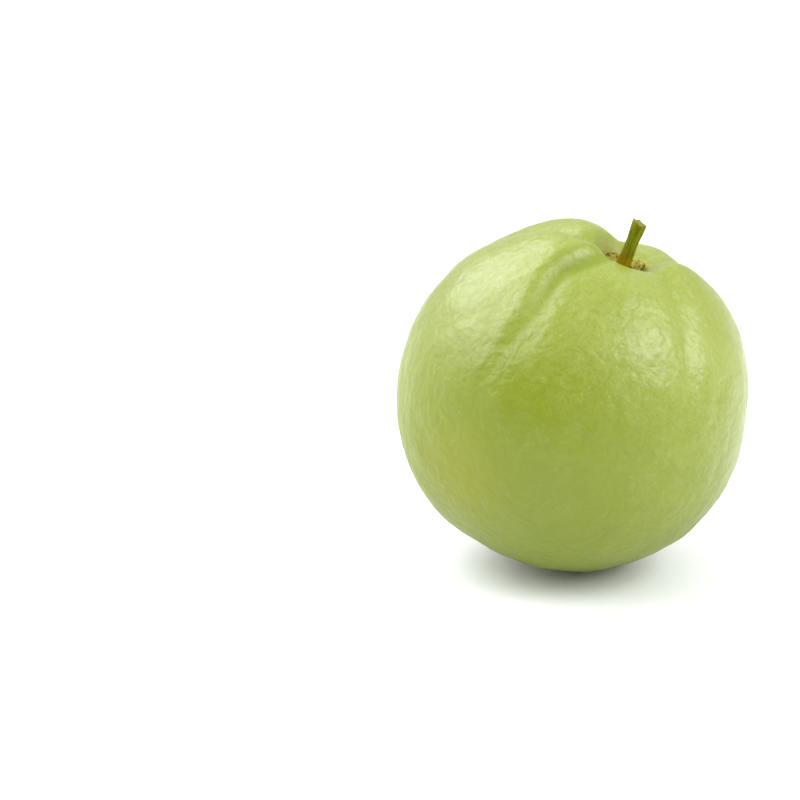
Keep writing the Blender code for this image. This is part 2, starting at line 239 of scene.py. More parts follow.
@dataclass(frozen=True)
class FruitForm:
    """The fruit's form, with the values of its solid."""

    radius: float = 0.048
    shoulder_drop: float = 0.0008
    shoulder_radius: float = 0.013
    wave_height: float = 0.0006
    wave_scale: float = 1.7
    bump_height: float = 0.00022
    bump_scale: float = 6.0
    stalk_hollow: Hollow = Hollow(0.0082, 0.0078, 3.2, Vector((-0.0017, -0.0012)))
    calyx_hollow: Hollow = Hollow(0.0052, 0.0110, 2.6, Vector((0, 0)))
    folds: tuple[Fold, ...] = (
        Fold(33, 0.0014, 0.0035, 0.0024, 0.0075, 62, 0.0002),
        Fold(94, 0.0014, 0.0045, 0.0026, 0.0090, 62, 0.0006),
        Fold(158, 0.0018, 0.0040, 0.0024, 0.0065, 62, 0.0005, turn=40),
        Fold(232, 0.0017, 0.0020, 0.0012, 0.0034, 82, 0.0006, 3.8, 0.0005, start=34, kink=-6),
        Fold(301, 0.0009, 0.0030, 0.0007, 0.0070, 94, 0.0007),
    )
    swells: tuple[Swell, ...] = (
        Swell(128, 34, 0.0011, 16),
        Swell(198, 25, 0.0018, 16),
        Swell(345, 13, 0.0014, 10),
        Swell(258, 13, -0.0014, 9),
        Swell(185, 85, -0.0009, 32),
        Swell(352, 72, -0.0008, 11),
        Swell(319, 133, -0.0008, 12),
        Swell(265, 152, -0.0016, 17),
        Swell(218, 41, 0.0006, 12),
    )

    def hollow_depth(self, polar: float, azimuth: float, from_axis: float) -> float:
        """Returns the depth of the hollow at the nearer end, for angles in radians."""
        hollow = self.calyx_hollow if polar > math.pi / 2 else self.stalk_hollow
        return hollow.depth_at(from_axis * outwards(azimuth))

    def fold_depth(self, polar: float, azimuth: float, from_axis: float) -> float:
        """Returns how far the folds together sink the skin, for angles in radians."""
        angles = math.degrees(polar), math.degrees(azimuth)
        return sum(fold.depth_at(*angles, from_axis) for fold in self.folds)

    def fold_shade(self, polar: float, azimuth: float, from_axis: float) -> float:
        """Returns how far the skin belongs to the matte middle of a fold, painted darker as shade, for angles
        in radians.
        """
        angles = math.degrees(polar), math.degrees(azimuth)
        return max(fold.shade_at(*angles, from_axis) for fold in self.folds)

    def skin_radius(self, polar: float, azimuth: float) -> float:
        """Measures the skin without its fine relief.

        Args:
            polar: angle from the stalk end, in radians.
            azimuth: angle round the fruit, in radians.

        Returns:
            The distance from the fruit's middle, in metres.
        """
        direction = direction_at(polar, azimuth)
        from_axis = self.radius * math.sin(polar)
        radius = self.radius
        for swell in self.swells:
            radius += swell.height * bell(math.degrees(direction.angle(swell.middle)), swell.width)
        radius += self.wave_height * noise.noise(direction * self.wave_scale)
        radius += self.bump_height * noise.noise(direction * self.bump_scale)
        radius -= self.shoulder_drop * bell(from_axis, self.shoulder_radius)
        radius -= self.fold_depth(polar, azimuth, from_axis)
        return radius - self.hollow_depth(polar, azimuth, from_axis)

    def skin_height(self, place: Vector, end: End) -> float:
        """Finds the skin over a place off the fruit's axis.

        Args:
            place: the place, as a 2-D vector from the axis.
            end: which end of the fruit.

        Returns:
            The height along the fruit's axis, negative at the calyx.
        """
        azimuth = math.atan2(place.y, place.x)
        radius = self.radius
        for _ in range(SETTLING_ROUNDS):
            lean_out = math.asin(min(1.0, place.length / radius))
            radius = self.skin_radius(lean_out if end is End.STALK else math.pi - lean_out, azimuth)
        return end.value * math.sqrt(max(0.0, radius**2 - place.length_squared))


@dataclass(frozen=True)
class Lie:
    """How the fruit lies: its own frame leaned over, with its middle over the origin."""

    lean: Euler
    middle: Vector

    @classmethod
    def on_solid(cls, lean: Euler, shape: bmesh.types.BMesh, node: str) -> "Lie":
        """Finds the place where a leaned shape has the same middle and the same bottom as a solid.

        Args:
            lean: the turn from the fruit's own frame.
            shape: the skin in the fruit's own frame.
            node: the solid's name.

        Returns:
            The lie.
        """
        turn = lean.to_matrix()
        points = [turn @ vertex.co for vertex in shape.verts]
        low = Vector(min(point[side] for point in points) for side in range(3))
        high = Vector(max(point[side] for point in points) for side in range(3))
        solid_low, solid_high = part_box(node)
        middle = (solid_low + solid_high - low - high) / 2
        middle.z = solid_low.z - low.z
        return cls(lean, middle)

    def matrix(self) -> Matrix:
        """Returns the move from the fruit's own frame to the object's."""
        return Matrix.Translation(self.middle) @ self.lean.to_matrix().to_4x4()


class Signal:
    """A socket that takes part in Python arithmetic, where each operation adds a Math node."""

    def __init__(self, graph: "Graph", socket: bpy.types.NodeSocket) -> None:
        """Wraps one output socket of a graph."""
        self.graph = graph
        self.socket = socket

    def __add__(self, other: "Signal | float") -> "Signal":
        """Adds."""
        return self.graph.maths("ADD", self, other)

    def __sub__(self, other: "Signal | float") -> "Signal":
        """Subtracts."""
        return self.graph.maths("SUBTRACT", self, other)

    def __rsub__(self, other: float) -> "Signal":
        """Subtracts this signal from a number."""
        return self.graph.maths("SUBTRACT", other, self)

    def __mul__(self, other: "Signal | float") -> "Signal":
        """Multiplies."""
        return self.graph.maths("MULTIPLY", self, other)

    __radd__ = __add__
    __rmul__ = __mul__

    def rise(self, low: float, high: float) -> "Signal":
        """Returns a smooth rise from 0 at low to 1 at high; it falls instead where low is the larger."""
        settings = {"interpolation_type": "SMOOTHSTEP"}
        sockets = {"Value": self, "From Min": min(low, high), "From Max": max(low, high)}
        risen = self.graph.add("ShaderNodeMapRange", settings, sockets)
        return risen if low < high else 1 - risen


class Graph:
    """The node tree of one procedural material or of the world."""

    def __init__(self, owner: bpy.types.Material | bpy.types.World) -> None:
        """Empties the node tree of its owner."""
        owner.use_nodes = True
        self.owner = owner
        self.tree = owner.node_tree
        self.tree.nodes.clear()

    @classmethod
    def of_material(cls, name: str) -> "Graph":
        """Returns the graph of a new material."""
        return cls(bpy.data.materials.new(name))

    def add(
        self,
        kind: str,
        settings: Mapping[str, Any],
        sockets: Mapping[str | int, Any],
        output: str | int = 0,
    ) -> Signal:
        """Adds one node.

        Args:
            kind: the node's type.
            settings: its properties, set first.
            sockets: the value or the signal of each input that differs from its default.
            output: the output that the result wraps.

        Returns:
            That output.
        """
        node = self.tree.nodes.new(kind)
        for name, value in settings.items():
            setattr(node, name, value)
        for name, value in sockets.items():
            if isinstance(value, Signal):
                self.tree.links.new(value.socket, node.inputs[name])
            else:
                node.inputs[name].default_value = value
        return Signal(self, node.outputs[output])

    def maths(self, operation: str, first: Signal | float, second: Signal | float) -> Signal:
        """Returns the result of a Math node."""
        return self.add("ShaderNodeMath", {"operation": operation}, {0: first, 1: second})

    def vector_maths(
        self, operation: str, first: Signal, second: Signal | Vector | Direction, output: str | int = 0
    ) -> Signal:
        """Returns the result of a Vector Math node."""
        return self.add("ShaderNodeVectorMath", {"operation": operation}, {0: first, 1: second}, output)

    def blend(self, share: Signal, colour: Signal | Colour, other: Colour) -> Signal:
        """Mixes two colours.

        Args:
            share: how much of the other colour.
            colour: the colour where share is 0.
            other: the colour where share is 1.

        Returns:
            The mixed colour.
        """
        first = colour if isinstance(colour, Signal) else (*colour, 1)
        return self.add("ShaderNodeMix", {"data_type": "RGBA"}, {0: share, 6: first, 7: (*other, 1)}, 2)

    def grain(self, place: Signal, size: float, detail: float = 2, twist: float = 0) -> Signal:
        """Returns noise whose features are about a size in metres across."""
        sockets = {"Vector": place, "Scale": 1 / size, "Detail": detail, "Distortion": twist}
        return self.add("ShaderNodeTexNoise", {}, sockets)

    def split(self, place: Signal, side: str) -> Signal:
        """Returns one coordinate of a place: X, Y or Z."""
        return self.add("ShaderNodeSeparateXYZ", {}, {0: place}, side)

    def ring(self, place: Signal) -> Signal:
        """Returns the direction from the fruit's axis to a place."""
        flat = self.vector_maths("MULTIPLY", place, (1, 1, 0))
        return self.vector_maths("NORMALIZE", flat, (0, 0, 0))

    def attribute(self, name: str) -> Signal:
        """Returns a value that the mesh carries."""
        return self.add("ShaderNodeAttribute", {"attribute_name": name}, {}, "Fac")

    def own_place(self, lie: Lie) -> Signal:
        """Returns the place in the fruit's own frame, in metres."""
        place = self.add("ShaderNodeTexCoord", {}, {}, "Object")
        sockets = {"Vector": place, "Location": lie.middle, "Rotation": lie.lean}
        return self.add("ShaderNodeMapping", {"vector_type": "TEXTURE"}, sockets)

    def bump(self, height: Signal, depth: float, over: Signal | None = None) -> Signal:
        """Returns the normal of a relief of a depth in metres, over another relief if there is one."""
        sockets = {"Height": height, "Distance": depth} | ({"Normal": over} if over else {})
        return self.add("ShaderNodeBump", {}, sockets)

    def finish(self, **sockets: Signal | float | Colour) -> bpy.types.Material:
        """Adds the shader.

        Args:
            **sockets: the Principled shader's inputs, with _ for a space.

        Returns:
            The material.
        """
        named = {name.replace("_", " "): value for name, value in sockets.items()}
        self.end("ShaderNodeOutputMaterial", self.add("ShaderNodeBsdfPrincipled", {}, named))
        return self.owner

    def end(self, kind: str, surface: Signal) -> None:
        """Links a surface to a new output node."""
        self.tree.links.new(surface.socket, self.tree.nodes.new(kind).inputs["Surface"])


@dataclass(frozen=True)
class SkinFinish:
    """Waxy, finely wrinkled green skin, corky in the stalk's hollow, with shade painted in as a deeper green
    in the folds, towards the bottom and towards the left.

    A size is that of a pattern's features and a depth that of a relief, in metres. A share says how much a
    pattern or a place adds. A span gives the values over which something rises from nothing to all of it.
    """

    light: Colour = (0.214, 0.254, 0.036)
    deep: Colour = (0.160, 0.202, 0.003)
    # painted shade: the deeper green laid down the middle of each fold
    fold_painted_shade: Colour = (0.112, 0.174, 0.002)
    # the yellow patch: partly the skin's own tint, partly a painted yellow reflection
    yellow: Colour = (0.205, 0.216, 0.000)
    speck: Colour = (0.32, 0.37, 0.10)
    pit_yellow: Colour = (0.27, 0.26, 0.02)
    # the hollow's floor: partly the scar's own brown, partly painted shade
    pit_brown_and_shade: Colour = (0.07, 0.042, 0.006)

    mottle_size: float = 0.0030
    grit_size: float = 0.0019
    grit_span: Span = (0.25, 0.75)
    grit_share: float = 0.6
    net_size: float = 0.0042
    net_twist: float = 0.3
    net_span: Span = (0, 0.15)
    net_depth: float = 0.00015
    fine_size: float = 0.0005
    fine_depth: float = 0.000015

    streak_size: float = 1 / 14
    streak_stretch: float = 9
    streak_share: float = 0.2
    broad_size: float = 0.024
    broad_share: float = 0.3
    pore_size: float = 0.0007
    pore_share: float = 0.35
    grain_span: Span = (0.3, 0.7)
    mottle_share: float = 0.25
    # deeper green in the wrinkles: partly the skin's own net, partly painted shade in the creases
    wrinkle_span: Span = (0.8, 0)
    wrinkle_net_and_shade_share: float = 0.08
    # painted shade: darker towards the left side and towards the bottom
    left_shade_span: Span = (0.038, -0.01)
    left_shade_share: float = 0.35
    lower_shade_span: Span = (0.034, 0.006)
    lower_shade_share: float = 0.45
    lightening: float = 0.35

    # the yellow patch low on the left: partly the skin's own tint, partly a painted yellow reflection
    tint_and_reflection_place: Vector = Vector((-0.026, -0.0365, -0.0165))
    yellow_span: Span = (0.026, 0.004)
    yellow_waver: float = 0.006
    yellow_share: float = 0.75
    # painted shade down the middle of the folds
    fold_shade_span: Span = (0.05, 0.9)
    fold_shade_share: float = 0.2
    fold_shade_mottle: float = 0.5
    speck_gap: float = 0.0045
    speck_span: Span = (0.10, 0.04)
    speck_share: float = 0.25
    pit_yellow_span: Span = (0.25, 0.85)
    pit_yellow_mottle: float = 0.4
    pit_yellow_share: float = 0.8
    pit_brown_and_shade_span: Span = (1.0, 1.2)
    pit_brown_and_shade_mottle: float = 0.35

    matte_pit_span: Span = (0.1, 0.6)
    matte_fold_span: Span = (0.02, 0.8)
    upper_span: Span = (-0.02, 0.02)
    coat: float = 0.05
    upper_coat: float = 0.33
    coat_in_wrinkles: float = 0.2
    coat_roughness: float = 0.33
    roughness: float = 0.30
    mottle_roughness: float = 0.10
    lower_roughness: float = 0.12
    matte_roughness: float = 0.35
    refraction: float = 1.45
    see_in_share: float = 0.08
    see_in_colours: Colour = (1.0, 0.9, 0.25)
    see_in_depth: float = 0.002

    def material(self, lie: Lie) -> bpy.types.Material:
        """Builds the finish.

        Args:
            lie: how the fruit lies.

        Returns:
            The material.
        """
        graph = Graph.of_material("guava_skin")
        own = graph.own_place(lie)
        mottle = graph.grain(own, self.mottle_size, 4)
        net = self.net(graph, own)
        colour = self.with_yellow(graph, own, mottle, self.green(graph, own, mottle, net))
        relief = graph.bump(net, self.net_depth)
        relief = graph.bump(graph.grain(own, self.fine_size), self.fine_depth, relief)
        pit = graph.attribute("pit").rise(*self.matte_pit_span)
        matte = graph.maths("MAXIMUM", pit, graph.attribute("fold").rise(*self.matte_fold_span))
        upper = graph.split(own, "Z").rise(*self.upper_span)
        between_wrinkles = self.coat_in_wrinkles + (1 - self.coat_in_wrinkles) * net
        uneven = self.mottle_roughness * mottle + self.lower_roughness * (1 - upper)
        return graph.finish(
            Base_Color=self.with_pit(graph, mottle, colour),
            Roughness=self.roughness + uneven + self.matte_roughness * matte,
            IOR=self.refraction,
            Coat_Weight=(self.coat + self.upper_coat * upper) * between_wrinkles * (1 - matte),
            Coat_Roughness=self.coat_roughness,
            Normal=relief,
            Subsurface_Weight=self.see_in_share,
            Subsurface_Radius=self.see_in_colours,
            Subsurface_Scale=self.see_in_depth,
        )

    def net(self, graph: Graph, own: Signal) -> Signal:
        """Returns a relief from 0 to 1: low in thin winding wrinkles, with grit between them.

        Args:
            graph: the material's graph.
            own: the place in the fruit's frame.

        Returns:
            The relief.
        """
        wander = graph.grain(own, self.net_size, 1, self.net_twist)
        wrinkles = graph.maths("ABSOLUTE", wander - 0.5, 0).rise(*self.net_span)
        grit = graph.grain(own, self.grit_size).rise(*self.grit_span)
        return (1 - self.grit_share) * wrinkles + self.grit_share * grit

    def green(self, graph: Graph, own: Signal, mottle: Signal, net: Signal) -> Signal:
        """Builds the skin's green, with faint streaks from end to end, and shade painted in: paler above,
        deeper below and towards the left.

        Args:
            graph: the material's graph.
            own: the place in the fruit's frame.
            mottle: fine mottling.
            net: low in the wrinkles.

        Returns:
            The colour.
        """
        height = graph.split(own, "Z")
        lift = graph.add("ShaderNodeCombineXYZ", {}, {"Z": height * self.streak_stretch})
        streaks = graph.grain(graph.vector_maths("ADD", graph.ring(own), lift), self.streak_size)
        depth = self.broad_share * graph.grain(own, self.broad_size).rise(*self.grain_span)
        depth = depth + self.streak_share * streaks.rise(*self.grain_span) + self.mottle_share * mottle
        # deeper in the wrinkles: partly the skin's own net, partly painted shade in the creases
        depth = depth + self.wrinkle_net_and_shade_share * net.rise(*self.wrinkle_span)
        # painted shade: darker towards the left side
        depth = depth + self.left_shade_share * graph.split(own, "X").rise(*self.left_shade_span)
        depth = depth + self.pore_share * graph.grain(own, self.pore_size, 3).rise(*self.grain_span)
        # painted shade: darker towards the bottom
        depth = depth + self.lower_shade_share * height.rise(*self.lower_shade_span) - self.lightening
        return graph.blend(depth.rise(0, 1), self.light, self.deep)

    def with_yellow(self, graph: Graph, own: Signal, mottle: Signal, colour: Signal) -> Signal:
        """Adds the yellow patch, partly the skin's own tint and partly a painted yellow reflection, the
        painted shade down the folds and the pale specks.

        Args:
            graph: the material's graph.
            own: the place in the fruit's frame.
            mottle: fine mottling.
            colour: the green.

        Returns:
            The colour with them.
        """
        # yellow patch: partly the skin's own tint, partly a painted yellow reflection
        away = graph.vector_maths("DISTANCE", own, self.tint_and_reflection_place, "Value") + self.yellow_waver * mottle
        colour = graph.blend(self.yellow_share * away.rise(*self.yellow_span), colour, self.yellow)
        # painted shade: deeper green down the middle of each fold, where its crease lies in shade
        fold = (self.fold_shade_share + self.fold_shade_mottle * mottle) * graph.attribute("fold").rise(*self.fold_shade_span)
        colour = graph.blend(fold, colour, self.fold_painted_shade)
        sockets = {"Vector": own, "Scale": 1 / self.speck_gap}
        specks = graph.add("ShaderNodeTexVoronoi", {}, sockets, "Distance").rise(*self.speck_span)
        return graph.blend(self.speck_share * specks, colour, self.speck)

    def with_pit(self, graph: Graph, mottle: Signal, colour: Signal) -> Signal:
        """Turns the colour yellow down the stalk's hollow and dark brown at its floor, partly the scar's own
        brown and partly painted shade.

        Args:
            graph: the material's graph.
            mottle: fine mottling.
            colour: the skin's colour.

        Returns:
            The colour with the hollow's.
        """
        pit = graph.attribute("pit")
        yellow = (pit + self.pit_yellow_mottle * mottle).rise(*self.pit_yellow_span)
        colour = graph.blend(self.pit_yellow_share * yellow, colour, self.pit_yellow)
        # darkest at the hollow's floor: partly the scar's own brown, partly painted shade
        brown = (pit + self.pit_brown_and_shade_mottle * mottle).rise(*self.pit_brown_and_shade_span)
        return graph.blend(brown, colour, self.pit_brown_and_shade)


@dataclass
class Skin:
    """The fruit's skin: its solid's form with wrinkles, pressed flat where it rests."""

    form: FruitForm
    lean: Euler
    rest_spot_radius: float = 0.009
    cuts: int = 119
    pit_angle: float = math.radians(17)
    net_depth: float = 0.00014
    net_scale: float = 21
    net_sharpness: float = 0.7
    net_sink: float = 0.7
    pucker_depth: float = 0.00017
    pucker_scale: float = 9
    bend: float = 0.05
    bend_scale: float = 5

    def fine_relief(self, direction: Vector) -> float:
        """Returns the height of the wrinkles in a direction, in metres."""
        places = (direction * self.bend_scale + shift for shift in BEND_SHIFTS)
        bent = direction + self.bend * Vector(noise.noise(place) for place in places)
        creases = abs(noise.noise(bent * self.net_scale)) ** self.net_sharpness
        puckers = noise.noise(bent * self.pucker_scale)
        return self.net_depth * (creases - self.net_sink) + self.pucker_depth * puckers

    def shape(self) -> bmesh.types.BMesh:
        """Builds the skin in the fruit's own frame.

        Returns:
            A closed mesh whose points carry how far they lie in a fold and in the stalk's hollow.
        """
        shape = bmesh.new()
        bmesh.ops.create_cube(shape, size=2)
        bmesh.ops.subdivide_edges(shape, edges=shape.edges[:], cuts=self.cuts, use_grid_fill=True)
        for vertex in shape.verts:
            vertex.co = Vector(math.tan(side * math.pi / 4) for side in vertex.co).normalized()
        near_pit = [edge for edge in shape.edges if edge.verts[0].co.z > math.cos(self.pit_angle)]
        bmesh.ops.subdivide_edges(shape, edges=near_pit, cuts=1, use_grid_fill=True)
        fold, pit = (shape.verts.layers.float.new(name) for name in ("fold", "pit"))
        for vertex in shape.verts:
            self.place(vertex, fold, pit)
        return shape

    def place(self, vertex: bmesh.types.BMVert, fold: Any, pit: Any) -> None:
        """Moves one point of a ball of radius 1 to the skin.

        Args:
            vertex: the point.
            fold: the layer for how near it lies to the middle of a fold, from 0 to 1.
            pit: the layer for how deep it lies in the stalk's hollow, from 0 to 1.
        """
        direction = vertex.co.normalized()
        polar, azimuth = polar_angles(direction)
        from_axis = self.form.radius * math.sin(polar)
        sunk = self.form.hollow_depth(polar, azimuth, from_axis) / self.form.stalk_hollow.depth
        vertex[fold] = self.form.fold_shade(polar, azimuth, from_axis)
        vertex[pit] = sunk if polar < math.pi / 2 else 0.0
        radius = self.form.skin_radius(polar, azimuth) + (1 - vertex[pit]) * self.fine_relief(direction)
        vertex.co = radius * direction

    def press_flat(self, shape: bmesh.types.BMesh) -> None:
        """Cuts the skin off level where the fruit rests, and closes it with one flat face."""
        down = self.lean.to_matrix().inverted() @ Vector((0, 0, -1))
        lowest = max(vertex.co.dot(down) for vertex in shape.verts)
        pressed = self.form.radius - math.sqrt(self.form.radius**2 - self.rest_spot_radius**2)
        cut = bmesh.ops.bisect_plane(
            shape,
            geom=shape.verts[:] + shape.edges[:] + shape.faces[:],
            dist=SNAP,
            plane_co=down * (lowest - pressed),
            plane_no=down,
            clear_outer=True,
        )
        rim = [part for part in cut["geom_cut"] if isinstance(part, bmesh.types.BMEdge)]
        bmesh.ops.holes_fill(shape, edges=rim)

    def build(self) -> Lie:
        """Builds and dresses the skin, and returns how the fruit lies."""
        shape = self.shape()
        self.press_flat(shape)
        lie = Lie.on_solid(self.lean, shape, "fruit")
        piece = new_piece("fruit_skin", shape, lie, SkinFinish().material(lie))
        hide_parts("fruit")
        return lie


def new_piece(
    name: str, shape: bmesh.types.BMesh, lie: Lie, material: bpy.types.Material
) -> bpy.types.Object:
    """Makes a piece from a shape in the fruit's own frame, and lets it ride on the fruit.

    Args:
        name: the piece's name.
        shape: its mesh, which is freed.
        lie: how the fruit lies.
        material: its finish.

    Returns:
        The piece, at the origin and with its place in its mesh.
    """
    bmesh.ops.transform(shape, matrix=lie.matrix(), verts=shape.verts[:])
    mesh = bpy.data.meshes.new(name)
    shape.to_mesh(mesh)
    shape.free()
    mesh.shade_smooth()
    mesh.materials.append(material)
    piece = bpy.data.objects.new(name, mesh)
    bpy.context.scene.collection.objects.link(piece)
    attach(piece, "root")
    mesh.calc_loop_triangles()
    log.info("%s: %d triangles", name, len(mesh.loop_triangles))
    return piece


@dataclass(frozen=True)
class BarkFinish:
    """Olive bark with fine lengthwise ridges, browner towards the foot and pale where it is torn."""

    olive: Colour = (0.100, 0.110, 0.0005)
    pale: Colour = (0.190, 0.215, 0.003)
    brown: Colour = (0.210, 0.138, 0.001)
    wood: Colour = (0.17, 0.16, 0.04)
    stretch: Direction = (1, 1, 0.12)
    fibre_size: float = 0.0005
    patch_size: float = 0.002
    patch_share: float = 0.5
    pale_span: Span = (0.4, 0.75)
    pale_share: float = 0.7
    foot_span: Span = (0.9, 0.4)
    torn_span: Span = (0.2, 0.8)
    relief_depth: float = 0.00012
    roughness: float = 0.5
    patch_roughness: float = 0.3
    shine: float = 0.08

    def material(self, lie: Lie) -> bpy.types.Material:
        """Builds the finish.

        Args:
            lie: how the fruit lies.

        Returns:
            The material.
        """
        graph = Graph.of_material("guava_bark")
        own = graph.own_place(lie)
        fibres = graph.grain(graph.vector_maths("MULTIPLY", own, self.stretch), self.fibre_size, 3)
        patches = graph.grain(own, self.patch_size, 3)
        foot = graph.attribute("share") + self.patch_share * patches
        colour = graph.blend(self.pale_share * fibres.rise(*self.pale_span), self.olive, self.pale)
        colour = graph.blend(foot.rise(*self.foot_span), colour, self.brown)
        colour = graph.blend(graph.attribute("torn").rise(*self.torn_span), colour, self.wood)
        return graph.finish(
            Base_Color=colour,
            Roughness=self.roughness + self.patch_roughness * patches,
            Specular_IOR_Level=self.shine,
            Normal=graph.bump(fibres + self.patch_share * patches, self.relief_depth),
        )


@dataclass
class Stalk:
    """The stalk: a faintly four-sided rod with fine ridges, bent, with a torn end."""

    form: FruitForm
    foot_depth: float = 0.0030
    tip_height: float = 0.0529
    foot_radius: float = 0.0021
    waist_radius: float = 0.0016
    tip_radius: float = 0.0019
    bend: float = 0.0003
    flare_end: float = 0.6
    tip_start: float = 0.65
    ridge: float = 0.06
    ridges: int = 4
    fine: float = 0.02
    knots: float = 0.03
    tear: float = 0.0004
    teeth: int = 5
    tooth: float = 0.6
    fibre: float = 0.5
    torn_out: float = 0.99
    sides: int = 96
    cuts: int = 70
    end_rings: int = 6

    def radius(self, share: float) -> float:
        """Returns the radius at a share of the length: wide at the foot, slimmest at the waist."""
        foot = (self.foot_radius - self.waist_radius) * (1 - smooth_step(share, 0, self.flare_end))
        tip = (self.tip_radius - self.waist_radius) * smooth_step(share, self.tip_start, 1)
        return self.waist_radius + foot + tip

    def tear_height(self, out: float, azimuth: float) -> float:
        """Returns the height of the torn end at a share of the radius, in metres."""
        teeth = out * (self.tooth * math.sin(self.teeth * azimuth) - math.cos(azimuth)) - (1 - out)
        fibres = -self.fibre * out * abs(noise.noise(on_tube(azimuth, 6, 3 * out)))
        return self.tear * (teeth + fibres)

    def shape(self) -> bmesh.types.BMesh:
        """Builds the stalk in the fruit's own frame.

        Returns:
            A closed mesh whose points carry their share of the length and whether they are torn.
        """
        middle = self.form.stalk_hollow.place
        low = self.form.skin_height(middle, End.STALK) - self.foot_depth
        length = self.tip_height - low
        shape = bmesh.new()
        bmesh.ops.create_cone(shape, cap_ends=True, segments=self.sides, radius1=1, radius2=1, depth=1)
        tip = [face for face in shape.faces if len(face.verts) > 4 and face.normal.z > 0]
        sides = [edge for edge in shape.edges if edge.verts[0].co.z * edge.verts[1].co.z < 0]
        bmesh.ops.subdivide_edges(shape, edges=sides, cuts=self.cuts)
        for _ in range(self.end_rings):
            bmesh.ops.inset_region(shape, faces=tip, thickness=1 / (self.end_rings + 1))
        bmesh.ops.poke(shape, faces=tip)
        share_layer, torn_layer = (shape.verts.layers.float.new(name) for name in ("share", "torn"))
        for vertex in shape.verts:
            share = vertex.co.z + 0.5
            azimuth = math.atan2(vertex.co.y, vertex.co.x)
            out = math.hypot(vertex.co.x, vertex.co.y)
            uneven = self.ridge * math.cos(self.ridges * azimuth)
            uneven += self.fine * noise.noise(on_tube(azimuth, 5, 3 * share))
            uneven += self.knots * noise.noise(on_tube(azimuth, 1, 9 * share))
            place = middle + out * self.radius(share) * (1 + uneven) * outwards(azimuth)
            place.x -= self.bend * share**2
            at_end = share > 1 - SNAP
            vertex.co = (*place, low + length * share + (self.tear_height(out, azimuth) if at_end else 0))
            vertex[share_layer] = share
            vertex[torn_layer] = 1.0 if at_end and out < self.torn_out else 0.0
        return shape

    def build(self, lie: Lie) -> bpy.types.Object:
        """Builds and dresses the stalk.

        Args:
            lie: how the fruit lies.

        Returns:
            The piece.
        """
        piece = new_piece("guava_stalk", self.shape(), lie, BarkFinish().material(lie))
        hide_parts("stalk")
        return piece


@dataclass(frozen=True)
class CorkFinish:
    """Corky scar tissue: yellow near the stalk, with brown specks and a dark outer edge that is partly the
    torn edge's own brown and partly painted shade where it meets the hollow.
    """

    yellow: Colour = (0.32, 0.32, 0.055)
    brown: Colour = (0.15, 0.085, 0.01)
    # the outer edge: partly the torn edge's own brown, partly painted shade
    dark: Colour = (0.060, 0.030, 0.002)
    crumb_size: float = 0.0007
    patch_size: float = 0.0025
    patch_share: float = 0.6
    brown_span: Span = (0.7, 1.0)
    crumb_share: float = 0.5
    dark_edge_and_shade_span: Span = (0.92, 1.3)
    relief_depth: float = 0.0003
    roughness: float = 0.7
    crumb_roughness: float = 0.25
    shine: float = 0.08

    def material(self, lie: Lie) -> bpy.types.Material:
        """Builds the finish.

        Args:
            lie: how the fruit lies.

        Returns:
            The material.
        """
        graph = Graph.of_material("guava_cork")
        own = graph.own_place(lie)
        crumbs = graph.grain(own, self.crumb_size, 4)
        brown = crumbs + self.patch_share * graph.grain(own, self.patch_size)
        edge = graph.attribute("out") + self.crumb_share * crumbs
        colour = graph.blend(brown.rise(*self.brown_span), self.yellow, self.brown)
        return graph.finish(
            # dark at the outer edge: partly the torn edge's own brown, partly painted shade
            Base_Color=graph.blend(edge.rise(*self.dark_edge_and_shade_span), colour, self.dark),
            Roughness=self.roughness + self.crumb_roughness * crumbs,
            Specular_IOR_Level=self.shine,
            Normal=graph.bump(crumbs, self.relief_depth),
        )


@dataclass(frozen=True)
class Flake:
    """A torn scrap of bark that stands up from the collar; its azimuth is in degrees."""

    azimuth: float
    height: float


